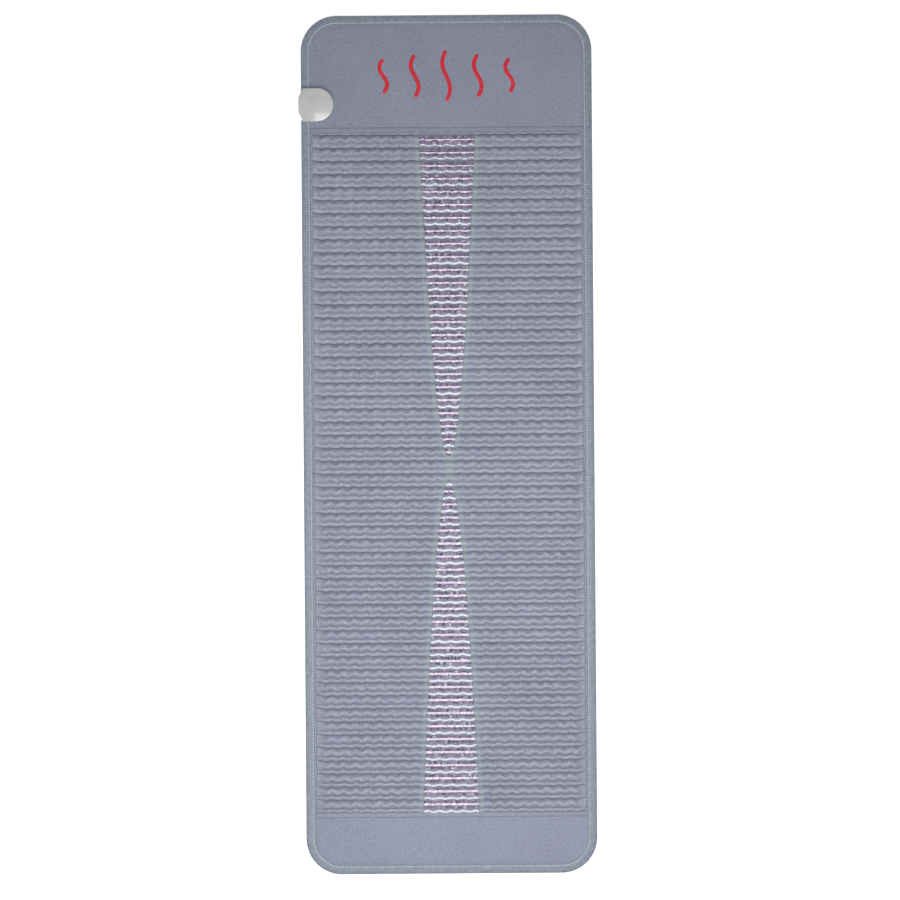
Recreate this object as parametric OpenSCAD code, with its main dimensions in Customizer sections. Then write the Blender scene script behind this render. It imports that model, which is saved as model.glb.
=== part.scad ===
// Gemstone infrared mat: a quilted heating mat lying flat, folding at three seams.
// X runs across the mat, +Y towards the head end, +Z up. The origin is the middle of
// the mat's outline on the surface that it lies on. All sizes are in millimetres.

/* [Mat] */
// Width across the mat
mat_w = 610; // [520:10:760]
// Plain panel at the head end, from its edge to the seam tape
head_len = 236; // [200:2:300]
// Plain panel at the foot end, from its edge to the seam tape
foot_len = 119.2; // [100:0.4:180]
// Radius of the four corners
corner_r = 75; // [30:1:95]
// Gap between the layers on either side of a fold
fold_gap = 0.6; // [0.4:0.1:2]

/* [Quilting] */
// Stone channels in each half of the mat
rows_half = 26; // [20:1:32]
// Distance from one channel to the next
row_pitch = 27.3; // [24:0.1:36]
// Flat strip between the head seam and the first channel
head_strip = 5.2; // [0:0.1:12]
// Outer radius of a filled channel
channel_r = 10; // [8:0.1:11.5]
// Distance from a row's head-side seam to the middle of its channel
channel_offset = 10.5; // [10:0.1:12]
// Flat margin between the channels' ends and the edge binding
channel_margin = 30; // [8:1:40]
// Clearance between the stones and the cloth around them
fill_gap = 0.2; // [0.1:0.1:0.6]

/* [Window] */
// Distance from the upper window's tip to the middle fold
upper_tip_gap = 35; // [10:1:300]
// Distance from the lower window's tip to the middle fold
lower_tip_gap = 12.8; // [10:0.1:300]
// Half the window's width at its wide end
window_half_w = 59.5; // [30:0.5:120]
// Lap of the clear film under the tape
film_lap = 5; // [3:0.5:8]
// Width of the tape along the window
window_tape_w = 10; // [8:0.5:16]
// Radius of one amethyst chip
chip_r = 4.8; // [3:0.1:5]
// Room between a chip's top edge and the film over it
chip_room = 0.95; // [0.3:0.05:3]
// Distance between neighbouring chips
chip_pitch = 11; // [10:0.5:16]

/* [Layers] */
// Back cover
back_t = 1.2; // [0.9:0.1:2]
// Insulating felt
felt_t = 5; // [3.5:0.5:10]
// Shield mesh
shield_t = 0.4; // [0.2:0.1:1]
// Heater fleece
fleece_t = 0.8; // [0.4:0.1:2]
// Base cloth under the channels
cloth_t = 0.8; // [0.4:0.1:2]
// Top cover and quilting
cover_t = 0.8; // [0.6:0.1:1.2]
// Clear window film
film_t = 0.4; // [0.2:0.1:0.6]
// Window tape
tape_t = 0.6; // [0.4:0.1:1]
// Edge binding and seam tapes
binding_t = 0.8; // [0.5:0.1:0.8]
// Width of the edge binding on each face
binding_w = 19; // [12:0.5:26]
// Width of the two seam tapes
seam_w = 10; // [8:0.5:20]
// Clearance around inner layers
lay_gap = 0.2; // [0.1:0.1:0.6]
// How far the inner layers stop short of a fold, where only the covers are sewn
fold_relief = 6; // [3:0.5:8]

/* [Heater] */
// Heating wire and lead wires, outside their jacket
wire_d = 1.8; // [1.2:0.1:2.4]
// Distance from the quilting's edge to the heating wire's bends
wire_margin = 24; // [20:1:60]
// Distance of the return wire from the quilting's edge
return_margin = 10; // [6:1:12]
// Length and width of the temperature sensor
sensor_size = [12, 8]; // [6:1:20]

/* [Connector] */
// Radius of the housing's round end
housing_r = 34.3; // [33:0.1:45]
// Distance from that round end's centre to the housing's straight side
housing_reach = 39; // [38:0.5:50]
// Radius of the housing's domed top
crown_r = 180; // [120:5:400]
// Cut corners beside the socket
housing_chamfer = 8; // [2:0.5:12]
// How far the housing stands out past the mat's edge
housing_overhang = 4.5; // [2:0.5:5.5]
// Distance from the head seam to the housing
housing_setback = 13.3; // [8:0.1:30]
// Wall of the housing
wall = 2; // [1.5:0.1:2.2]
// Width of the fabric rim clamped inside the housing
clamp_w = 6; // [4:0.5:6]
// Width and height of the socket's hollow
socket_w = 34; // [28:0.5:34]
socket_h = 6.4; // [6:0.1:7]
// Depth of the socket
socket_depth = 20; // [16:0.5:22]
// Wall of the socket
socket_wall = 1.6; // [1:0.1:1.6]
// Radius of a contact pin
pin_r = 1.5; // [0.8:0.1:1.8]
// Contact pins
pin_count = 5; // [3:1:5]
// Distance between contact pins
pin_pitch = 6.5; // [5.5:0.1:7]
// Free depth in front of the contact pins
pin_setback = 9; // [6:0.5:10]
// Radius of a housing screw's shank
screw_r = 1.5; // [1:0.1:1.5]
// Thickness of the circuit board
board_t = 1.6; // [1:0.1:2]

/* [Hidden] */
$fn = 64;

over = 1; // how far a cutting solid runs past what it cuts
upper = true;
lower = false;
left = -1;
right = 1;

// Levels, from the surface that the mat lies on
z_felt = back_t + felt_t;
z_shield = z_felt + shield_t;
z_fleece = z_shield + fleece_t;
z_wire = z_fleece + wire_d;
z_cloth = z_wire + cloth_t;
z_sheet = z_cloth + cover_t;
z_hem = z_fleece + cover_t;
z_rim = z_hem + binding_t;

// Stations along the mat
mat_len = head_len + foot_len + 2 * seam_w + head_strip + 2 * rows_half * row_pitch;
head_end = mat_len / 2;
head_seam = head_end - head_len;
quilt_top = head_seam - seam_w;
rows_top = quilt_top - head_strip;
fold_mid = rows_top - rows_half * row_pitch;
quilt_bottom = fold_mid - rows_half * row_pitch;
foot_seam = quilt_bottom - seam_w;
foot_end = -mat_len / 2;

// Stations across the mat
half_w = mat_w / 2;
skin_edge = half_w - binding_w;
hem_edge = half_w - binding_t - lay_gap;
inner_edge = skin_edge - cover_t - lay_gap;
channel_end = skin_edge - channel_margin;

// Heating wire
wire_pitch = 2 * row_pitch;
wire_runs = 2 * floor((rows_half - 2) / 4) + 1;
run_half = skin_edge - wire_margin - wire_pitch / 2 - wire_d / 2;
turn_r = row_pitch / 2;
z_heat = z_fleece + wire_d / 2;
z_lead = z_felt - wire_d / 2 - lay_gap;
drop_y = quilt_top - 14;
return_x = -skin_edge + return_margin;
feed_x = return_x + 12;
sensor_lead_x = feed_x + 20;
lead_xs = [return_x, feed_x, sensor_lead_x];
sensor_x = sensor_lead_x + 8 + sensor_size[0] / 2;

// Connector housing
housing_x = -half_w - housing_overhang + housing_reach;
housing_y = head_seam + housing_setback + housing_r;
z_board = z_fleece + lay_gap;
z_socket = z_board + board_t;
z_pin = z_socket + socket_wall + socket_h / 2;
z_socket_top = z_socket + 2 * socket_wall + socket_h;
socket_x = -half_w - housing_overhang + wall + lay_gap;
socket_corner = norm([socket_x - housing_x, socket_w / 2 + socket_wall]);
// The dome's inside just clears the socket's far corners
housing_h = z_socket_top + lay_gap + crown_r - sqrt(pow(crown_r - wall, 2) - pow(socket_corner, 2));
board_inset = clamp_w + 1;
pin_root_r = pin_r - 0.3;
pin_fit = 0.05;
boss_r = 4.2;
bosses = [
    [housing_x - 19.5, housing_y - socket_w / 2 - socket_wall - boss_r - 0.5],
    [housing_x - 19.5, housing_y + socket_w / 2 + socket_wall + boss_r + 0.5],
    [housing_x + 16, housing_y - 17],
    [housing_x + 16, housing_y + 17],
];
screw_head_r = 2 * screw_r - 0.2;
screw_head_h = 2;
screw_recess = 0.4;
screw_top = z_rim + 9;
fuse_r = 2.2;
fuse_len = 12;
fuse_y = housing_y - housing_r + 6.7;
lead_ends = [fuse_y + 6, fuse_y + 16, housing_y - 3.6]; // return, feed and sensor lead

arch_steps = 24; // straight stretches along one side of the window

// A chip's top corners reach up to the round film, less their room
chip_h = sqrt(pow(channel_r - film_t - chip_room, 2) - pow(chip_r, 2));

fabric = [0.54, 0.56, 0.62];
binding_colour = [0.56, 0.6, 0.63];

function dir(up) = up ? 1 : -1;
function seam_y(up) = up ? head_seam : foot_seam;
function quilt_y(up) = up ? quilt_top : quilt_bottom;
function fold_y(up) = fold_mid + dir(up) * fold_gap / 2;
function first_row(up) = up ? 0 : rows_half;
function rows_of(up) = [first_row(up):first_row(up) + rows_half - 1];
// The two rows beside the middle fold hold no stones, so that the mat folds flat
function filled_rows(up) = up ? [0:rows_half - 2] : [rows_half + 1:2 * rows_half - 1];
function inner_fold_y(up) = fold_y(up) + dir(up) * fold_relief;
function inner_seam_y(up) = seam_y(up) - dir(up) * fold_relief;
function row_y(i) = rows_top - row_pitch * i - channel_offset;
function window_len(up) = abs(quilt_y(up) - fold_mid) - (up ? upper_tip_gap : lower_tip_gap);
function tip_y(up) = quilt_y(up) - dir(up) * window_len(up);
function run_y(up, j) = quilt_y(up) - dir(up) * (row_pitch + j * wire_pitch);

// Half the window's width at station y, zero past its tip
function window_half(up, y) =
    let (t = (y - tip_y(up)) * dir(up) / window_len(up)) t <= 0 ? 0 : window_half_w * sqrt(t);

// One side of the window from its tip to its wide end, moved out by grow
function arch(up, grow) = [
    for (k = [0:arch_steps]) let (t = k / arch_steps)
        [window_half_w * t + grow, tip_y(up) + dir(up) * window_len(up) * t * t]
];
function reversed(p) = [for (k = [len(p) - 1:-1:0]) p[k]];
function mirrored(p) = [for (q = p) [-q[0], q[1]]];

// ---- Shared shapes ----

module block(x0, x1, y0, y1, z0, z1) {
    translate([min(x0, x1), min(y0, y1), min(z0, z1)]) cube([abs(x1 - x0), abs(y1 - y0), abs(z1 - z0)]);
}

module prism(z0, z1) {
    translate([0, 0, z0]) linear_extrude(height = z1 - z0) children();
}

// The child's 2D shape, drawn with Y and Z, extruded along X
module along_x(x0, x1) {
    translate([x0, 0, 0]) rotate([90, 0, 90]) linear_extrude(height = x1 - x0) children();
}

module rod_x(x0, x1, y, z, r) {
    translate([min(x0, x1), y, z]) rotate([0, 90, 0]) cylinder(r = r, h = abs(x1 - x0));
}

module rod_y(x, y0, y1, z, r) {
    translate([x, max(y0, y1), z]) rotate([90, 0, 0]) cylinder(r = r, h = abs(y1 - y0));
}

module rod_z(x, y, z0, z1, r) {
    translate([x, y, min(z0, z1)]) cylinder(r = r, h = abs(z1 - z0));
}

module elbow(x, y, z) {
    translate([x, y, z]) sphere(r = wire_d / 2);
}

module bend(x, y, z, r, start, sweep) {
    translate([x, y, z]) rotate([0, 0, start])
        rotate_extrude(angle = sweep) translate([r, 0]) circle(r = wire_d / 2);
}

// Outline of the whole mat, moved in by inset
module mat_outline(inset) {
    r = corner_r - inset;
    for (sx = [-1, 1], sy = [-1, 1])
        translate([sx * (half_w - corner_r), sy * (head_end - corner_r)]) circle(r = r);
    square([mat_w - 2 * corner_r, mat_len - 2 * inset], center = true);
    square([mat_w - 2 * inset, mat_len - 2 * corner_r], center = true);
}

// Part of that outline beyond a seam, starting at a distance from the seam
module end_outline(head, inset, start = fold_gap) {
    y = head ? head_seam + start : foot_seam - start;
    intersection() {
        mat_outline(inset);
        translate([-mat_w, head ? y : y - mat_len]) square([2 * mat_w, mat_len]);
    }
}

// Round-ended outline of the connector housing, moved out by grow
module housing_outline(grow) {
    r = housing_r + grow;
    reach = housing_reach + grow;
    c = housing_chamfer;
    translate([housing_x, housing_y]) {
        circle(r = r);
        polygon([
            [0, -r], [0, r], [-reach + c, r], [-reach, r - c], [-reach, -r + c], [-reach + c, -r],
        ]);
    }
}

// ---- Quilted halves ----

// Half-round channels standing on the base cloth
module channels(rows, r, x_end) {
    along_x(-x_end, x_end) difference() {
        for (i = rows)
            translate([row_y(i), z_cloth]) circle(r = r);
        translate([foot_end, z_cloth - 2 * r]) square([mat_len, 2 * r]);
    }
}

// Whole quilted sheet of one half: channels, flat seams, stepped edges and hem
module skin(up, t) {
    difference() {
        union() {
            channels(rows_of(up), channel_r, channel_end);
            block(-skin_edge, skin_edge, fold_y(up), quilt_y(up), z_fleece, z_sheet);
            block(-hem_edge, hem_edge, fold_y(up), seam_y(up), z_fleece, z_hem);
        }
        channels(rows_of(up), channel_r - t, channel_end - t);
        block(-skin_edge + t, skin_edge - t, fold_y(up) - dir(up) * over, quilt_y(up) - dir(up) * t,
            z_fleece - over, z_sheet - t);
    }
}

// Plan of the quilting on one side of the window
module side_plan(up, side, grow, centre_gap, x_out) {
    edge = reversed(arch(up, grow));
    points = concat(
        [[window_half_w + grow, seam_y(up)]],
        edge,
        [[centre_gap, tip_y(up)], [centre_gap, fold_y(up)], [x_out, fold_y(up)], [x_out, seam_y(up)]]
    );
    polygon(side == right ? points : mirrored(points));
}

module quilt(up, side) {
    color(fabric) intersection() {
        skin(up, cover_t);
        prism(0, z_cloth + 2 * channel_r) side_plan(up, side, film_lap, 0, half_w);
    }
}

module window_film(up) {
    edge = concat(arch(up, film_lap), [[window_half_w + film_lap, seam_y(up)]]);
    color([0.86, 0.84, 0.9, 0.5]) intersection() {
        skin(up, film_t);
        prism(0, z_cloth + 2 * channel_r) polygon(concat(edge, reversed(mirrored(edge))));
    }
}

module window_tape(up) {
    inside = arch(up, 0);
    outside = concat([[window_tape_w, fold_y(up)]], arch(up, window_tape_w));
    color(binding_colour) intersection() {
        prism(0, z_cloth + 2 * channel_r)
            polygon(concat(outside, reversed(inside), mirrored(inside), reversed(mirrored(outside))));
        difference() {
            union() {
                channels(rows_of(up), channel_r + tape_t, channel_end);
                block(-skin_edge, skin_edge, fold_y(up), quilt_y(up), z_sheet, z_sheet + tape_t);
            }
            channels(rows_of(up), channel_r, channel_end + over);
            block(-half_w, half_w, fold_y(up) - dir(up) * over, quilt_y(up) + dir(up) * over, 0, z_sheet);
        }
    }
}

module seam_tape(up) {
    color(binding_colour)
        block(-skin_edge, skin_edge, quilt_y(up), seam_y(up), z_hem, z_rim);
}

module amethyst_chips(up) {
    turns = rands(0, 60, 4 * rows_half, up ? 11 : 23);
    color([0.55, 0.45, 0.66])
        for (i = filled_rows(up)) {
            room = window_half(up, row_y(i)) - chip_r;
            side_count = room < 0 ? -1 : floor(room / chip_pitch);
            for (k = [-side_count:1:side_count])
                translate([k * chip_pitch, row_y(i), z_cloth]) rotate([0, 0, turns[i + side_count + k]])
                    cylinder(r = chip_r, h = chip_h, $fn = 6);
        }
}

module stone_fill(up, side) {
    room = cover_t + fill_gap;
    color([0.32, 0.3, 0.33]) intersection() {
        channels(filled_rows(up), channel_r - room, channel_end - room);
        prism(0, z_cloth + 2 * channel_r)
            side_plan(up, side, film_lap + fill_gap, fill_gap, half_w);
    }
}

module channel_base_cloth(up) {
    y_end = quilt_y(up) - dir(up) * (cover_t + lay_gap);
    color([0.78, 0.78, 0.76]) block(-inner_edge, inner_edge, inner_fold_y(up), y_end, z_wire, z_cloth);
}

// Heating wire in rows, from the outer seam's left side to the fold's right side
module heating_wire(up) {
    last = wire_runs - 1;
    last_y = run_y(up, last) - dir(up) * turn_r;
    color([0.75, 0.3, 0.25]) {
        for (j = [0:last])
            rod_x(-run_half, run_half, run_y(up, j), z_heat, wire_d / 2);
        for (j = [0:1:last - 1])
            bend(j % 2 == 0 ? run_half : -run_half, run_y(up, j) - dir(up) * wire_pitch / 2, z_heat,
                wire_pitch / 2, j % 2 == 0 ? -90 : 90, 180);
        bend(run_half, last_y, z_heat, turn_r, up ? 0 : 270, 90);
        rod_y(run_half + turn_r, last_y, fold_y(up), z_heat, wire_d / 2);
    }
}

module heater_layer(up, z0, z1) {
    difference() {
        block(-hem_edge, hem_edge, inner_fold_y(up), inner_seam_y(up), z0, z1);
        if (up)
            for (x = lead_xs)
                rod_z(x, drop_y, z0 - over, z1 + over, wire_d / 2 + lay_gap);
    }
}

module heater_fleece(up) {
    color([0.9, 0.88, 0.84]) heater_layer(up, z_shield, z_fleece);
}

module shield_mesh(up) {
    color([0.8, 0.8, 0.82]) heater_layer(up, z_felt, z_shield);
}

module insulation_felt(up) {
    room = wire_d / 2 + lay_gap;
    color([0.72, 0.72, 0.7]) difference() {
        block(-hem_edge, hem_edge, inner_fold_y(up), inner_seam_y(up), back_t, z_felt);
        if (up)
            for (x = lead_xs)
                block(x - room, x + room, drop_y - room, head_seam + over, z_lead - room, z_felt + over);
    }
}

// Back cover, its edge lying on the binding's lower leg
module back_cover(up) {
    color([0.25, 0.26, 0.29]) {
        block(-skin_edge, skin_edge, fold_y(up), seam_y(up), 0, back_t);
        block(-hem_edge, hem_edge, fold_y(up), seam_y(up), binding_t, back_t);
    }
}

module edge_binding(up, side) {
    color(binding_colour) difference() {
        block(side * skin_edge, side * half_w, fold_y(up), seam_y(up), 0, z_rim);
        block(side * (skin_edge - over), side * (half_w - binding_t), fold_y(up) - over, seam_y(up) + over,
            binding_t, z_hem);
        block(side * (skin_edge - over), side * (half_w - binding_t), seam_y(up) - over, fold_y(up) + over,
            binding_t, z_hem);
    }
}

// Feed, return and sensor leads, dropping through the heater layers into the felt
module upper_lead_wires() {
    starts = [fold_y(upper), run_y(upper, 0), drop_y];
    color([0.85, 0.85, 0.85]) {
        for (k = [0:2]) {
            x = lead_xs[k];
            if (starts[k] < drop_y)
                rod_y(x, starts[k], drop_y, z_heat, wire_d / 2);
            elbow(x, drop_y, z_heat);
            rod_z(x, drop_y, z_lead, z_heat, wire_d / 2);
            elbow(x, drop_y, z_lead);
            rod_y(x, drop_y, head_seam, z_lead, wire_d / 2);
        }
        elbow(feed_x, run_y(upper, 0), z_heat);
        rod_x(feed_x, -run_half, run_y(upper, 0), z_heat, wire_d / 2);
        rod_x(sensor_lead_x, sensor_x - sensor_size[0] / 2, drop_y, z_heat, wire_d / 2);
    }
}

module temperature_sensor() {
    color([0.2, 0.2, 0.22])
        block(sensor_x - sensor_size[0] / 2, sensor_x + sensor_size[0] / 2, drop_y - sensor_size[1] / 2,
            drop_y + sensor_size[1] / 2, z_fleece, z_wire);
}

module lower_return_wire() {
    y = run_y(lower, 0);
    color([0.85, 0.85, 0.85]) {
        rod_x(return_x, -run_half, y, z_heat, wire_d / 2);
        elbow(return_x, y, z_heat);
        rod_y(return_x, y, fold_y(lower), z_heat, wire_d / 2);
    }
}

// ---- End panels ----

// Room for the housing: its full outline below the clamped fabric, a smaller hole through it
module housing_room() {
    prism(-over, z_fleece) housing_outline(lay_gap);
    prism(z_fleece - over, z_cloth) housing_outline(-clamp_w);
}

module panel_top_cover(head) {
    prism(z_hem, z_hem + cover_t) end_outline(head, binding_w);
    prism(z_fleece, z_hem) difference() {
        end_outline(head, binding_t + lay_gap);
        end_outline(head, binding_w + cover_t, -over);
    }
}

module panel_back_cover(head) {
    prism(0, binding_t) end_outline(head, binding_w);
    prism(binding_t, back_t) end_outline(head, binding_t + lay_gap);
}

module panel_padding(head) {
    start = fold_gap + fold_relief;
    prism(back_t, z_fleece) end_outline(head, binding_t + lay_gap, start);
    prism(z_fleece, z_hem) end_outline(head, binding_w + cover_t, start);
}

module panel_binding(head) {
    difference() {
        prism(0, z_rim) end_outline(head, 0);
        prism(-over, z_rim + over) end_outline(head, binding_w, -over);
        prism(binding_t, z_hem) end_outline(head, binding_t, -over);
    }
}

module head_top_cover() {
    color(fabric) difference() {
        panel_top_cover(true);
        housing_room();
    }
}

module head_back_cover() {
    color([0.25, 0.26, 0.29]) difference() {
        panel_back_cover(true);
        housing_room();
    }
}

module head_padding() {
    room = wire_d / 2 + lay_gap;
    color([0.72, 0.72, 0.7]) difference() {
        panel_padding(true);
        housing_room();
        for (x = lead_xs)
            block(x - room, x + room, head_seam, housing_y, z_lead - room, z_hem + over);
    }
}

module head_edge_binding() {
    color(binding_colour) difference() {
        panel_binding(true);
        housing_room();
    }
}

module foot_top_cover() {
    color(fabric) panel_top_cover(false);
}

module foot_back_cover() {
    color([0.25, 0.26, 0.29]) panel_back_cover(false);
}

module foot_padding() {
    color([0.72, 0.72, 0.7]) panel_padding(false);
}

module foot_edge_binding() {
    color(binding_colour) panel_binding(false);
}

// Five rising waves of warm air, the middle one the tallest
module embroidered_emblem() {
    spacing = 66;
    stroke = 7;
    swing = 8;
    steps = 24;
    y_mid = head_end - 128;
    color([0.83, 0.13, 0.25])
        for (k = [-2:2]) {
            h = 108 - 18 * abs(k);
            centre = [for (s = [0:steps]) [swing * sin(360 * s / steps), h * (s / steps - 0.5)]];
            prism(z_hem + cover_t, z_hem + cover_t + 0.8) translate([k * spacing, y_mid])
                polygon(concat([for (q = centre) [q[0] - stroke / 2, q[1]]],
                    reversed([for (q = centre) [q[0] + stroke / 2, q[1]]])));
        }
}

// ---- Connector ----

module domed(grow, z0) {
    r = crown_r + grow;
    intersection() {
        prism(z0, housing_h) housing_outline(grow);
        translate([housing_x, housing_y, housing_h - crown_r]) sphere(r = r, $fn = 200);
    }
}

module socket_hollow(x0, x1) {
    z = z_socket + socket_wall;
    block(x0, x1, housing_y - socket_w / 2, housing_y + socket_w / 2, z, z + socket_h);
}

module connector_upper_shell() {
    color([0.73, 0.73, 0.72]) difference() {
        union() {
            difference() {
                domed(0, z_rim);
                domed(-wall, z_rim - over);
            }
            intersection() {
                domed(0, z_rim);
                for (b = bosses) rod_z(b[0], b[1], z_rim, housing_h, boss_r);
            }
        }
        for (b = bosses) rod_z(b[0], b[1], z_rim - over, screw_top + 0.5, screw_r + pin_fit);
        socket_hollow(socket_x - wall - over - lay_gap, socket_x + over);
    }
}

module connector_lower_shell() {
    lip_x = -half_w - lay_gap;
    color([0.73, 0.73, 0.72]) difference() {
        union() {
            difference() {
                prism(0, z_fleece) housing_outline(0);
                prism(wall, z_fleece + over) housing_outline(-wall);
            }
            difference() {
                prism(z_fleece, z_rim) housing_outline(0);
                prism(z_fleece - over, z_rim + over) housing_outline(-wall);
                block(lip_x, half_w, head_seam, head_end, z_fleece - over, z_rim + over);
            }
            for (b = bosses) rod_z(b[0], b[1], wall / 2, z_rim, boss_r);
            for (p = [[-27, -10], [-27, 10], [20, 0]])
                rod_z(housing_x + p[0], housing_y + p[1], wall / 2, z_board, wall);
        }
        for (b = bosses) {
            rod_z(b[0], b[1], -over, z_rim + over, screw_r + lay_gap);
            rod_z(b[0], b[1], -over, screw_recess + screw_head_h, screw_head_r + lay_gap);
        }
        for (k = [0:2])
            rod_y(lead_xs[k], housing_y - housing_r - over, lead_ends[k], z_lead, wire_d / 2 + lay_gap);
    }
}

module controller_socket() {
    y = socket_w / 2 + socket_wall;
    color([0.15, 0.15, 0.16]) difference() {
        block(socket_x, socket_x + socket_depth, housing_y - y, housing_y + y, z_socket, z_socket_top);
        socket_hollow(socket_x - over, socket_x + socket_depth - wall);
        for (k = [0:pin_count - 1])
            rod_x(socket_x, socket_x + socket_depth + over, pin_y(k), z_pin, pin_root_r + pin_fit);
    }
}

function pin_y(k) = housing_y + (k - (pin_count - 1) / 2) * pin_pitch;

// Pins standing free in the socket, thinner through its back and bent down to the circuit board
module contact_pins() {
    x_back = socket_x + socket_depth - wall;
    x_tail = x_back + wall + pin_root_r + lay_gap;
    color([0.8, 0.66, 0.3])
        for (k = [0:pin_count - 1]) {
            rod_x(socket_x - wall - lay_gap + pin_setback, x_back, pin_y(k), z_pin, pin_r);
            rod_x(x_back, x_tail, pin_y(k), z_pin, pin_root_r);
            translate([x_tail, pin_y(k), z_pin]) sphere(r = pin_root_r);
            rod_z(x_tail, pin_y(k), z_socket, z_pin, pin_root_r / 2);
        }
}

module connector_circuit_board() {
    color([0.1, 0.38, 0.2]) {
        difference() {
            prism(z_board, z_socket) housing_outline(-board_inset);
            for (b = bosses) rod_z(b[0], b[1], z_board - over, z_socket + over, boss_r + lay_gap);
        }
        block(housing_x - 8, housing_x + 2, housing_y - 6, housing_y + 6, z_socket, z_socket + 6);
        block(housing_x + 10, housing_x + 18, housing_y - 7, housing_y + 7, z_socket, z_socket + 4);
    }
}

module housing_screws() {
    color([0.6, 0.6, 0.62])
        for (b = bosses) {
            rod_z(b[0], b[1], screw_recess, screw_recess + screw_head_h, screw_head_r);
            rod_z(b[0], b[1], screw_recess, screw_top, screw_r);
        }
}

module thermal_fuse() {
    color([0.9, 0.88, 0.8]) rod_y(feed_x, fuse_y, fuse_y + fuse_len, z_lead, fuse_r);
}

module head_lead_wires() {
    y0 = head_seam + fold_gap;
    color([0.85, 0.85, 0.85]) {
        for (k = [0:2]) {
            elbow(lead_xs[k], lead_ends[k], z_lead);
            rod_z(lead_xs[k], lead_ends[k], z_lead, z_board, wire_d / 2);
        }
        rod_y(return_x, y0, lead_ends[0], z_lead, wire_d / 2);
        rod_y(feed_x, y0, fuse_y, z_lead, wire_d / 2);
        rod_y(feed_x, fuse_y + fuse_len, lead_ends[1], z_lead, wire_d / 2);
        rod_y(sensor_lead_x, y0, lead_ends[2], z_lead, wire_d / 2);
    }
}

quilt(upper, left);  // upper_quilt_left
quilt(upper, right);  // upper_quilt_right
window_film(upper);  // upper_window_film
window_tape(upper);  // upper_window_tape
seam_tape(upper);  // head_seam_tape
amethyst_chips(upper);  // upper_amethyst_chips
stone_fill(upper, left);  // upper_stone_fill_left
stone_fill(upper, right);  // upper_stone_fill_right
channel_base_cloth(upper);  // upper_channel_base_cloth
heating_wire(upper);  // upper_heating_wire
heater_fleece(upper);  // upper_heater_fleece
shield_mesh(upper);  // upper_shield_mesh
insulation_felt(upper);  // upper_insulation_felt
back_cover(upper);  // upper_back_cover
edge_binding(upper, left);  // upper_edge_binding_left
edge_binding(upper, right);  // upper_edge_binding_right
upper_lead_wires();
temperature_sensor();
quilt(lower, left);  // lower_quilt_left
quilt(lower, right);  // lower_quilt_right
window_film(lower);  // lower_window_film
window_tape(lower);  // lower_window_tape
seam_tape(lower);  // foot_seam_tape
amethyst_chips(lower);  // lower_amethyst_chips
stone_fill(lower, left);  // lower_stone_fill_left
stone_fill(lower, right);  // lower_stone_fill_right
channel_base_cloth(lower);  // lower_channel_base_cloth
heating_wire(lower);  // lower_heating_wire
heater_fleece(lower);  // lower_heater_fleece
shield_mesh(lower);  // lower_shield_mesh
insulation_felt(lower);  // lower_insulation_felt
back_cover(lower);  // lower_back_cover
edge_binding(lower, left);  // lower_edge_binding_left
edge_binding(lower, right);  // lower_edge_binding_right
lower_return_wire();
head_top_cover();
head_back_cover();
head_padding();
head_edge_binding();
embroidered_emblem();
connector_upper_shell();
connector_lower_shell();
controller_socket();
contact_pins();
connector_circuit_board();
housing_screws();
thermal_fuse();
head_lead_wires();
foot_top_cover();
foot_back_cover();
foot_padding();
foot_edge_binding();
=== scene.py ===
import math
import random

import bmesh
import bpy
import numpy as np
from mathutils import Matrix, Vector


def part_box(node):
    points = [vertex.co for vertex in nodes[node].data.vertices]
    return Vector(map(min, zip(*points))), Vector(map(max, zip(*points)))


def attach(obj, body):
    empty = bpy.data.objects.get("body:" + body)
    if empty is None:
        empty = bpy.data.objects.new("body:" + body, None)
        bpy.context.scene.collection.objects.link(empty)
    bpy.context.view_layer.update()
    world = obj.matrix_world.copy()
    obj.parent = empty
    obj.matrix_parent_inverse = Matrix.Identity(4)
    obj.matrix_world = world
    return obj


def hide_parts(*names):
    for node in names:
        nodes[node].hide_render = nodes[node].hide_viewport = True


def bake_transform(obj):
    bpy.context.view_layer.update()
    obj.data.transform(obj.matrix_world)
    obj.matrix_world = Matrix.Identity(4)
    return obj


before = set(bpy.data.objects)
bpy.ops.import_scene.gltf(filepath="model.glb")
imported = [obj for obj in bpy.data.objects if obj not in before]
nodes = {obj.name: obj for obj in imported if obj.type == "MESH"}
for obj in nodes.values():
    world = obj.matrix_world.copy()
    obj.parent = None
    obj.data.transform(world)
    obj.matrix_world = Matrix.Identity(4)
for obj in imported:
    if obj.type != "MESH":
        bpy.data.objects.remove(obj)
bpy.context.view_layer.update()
print("frame loaded,", len(nodes), "parts")


# Sizes below are in millimetres and become metres when a mesh is finished
def boxOf(name):
    low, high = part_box(name)
    return [v * 1000 for v in low], [v * 1000 for v in high]


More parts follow.
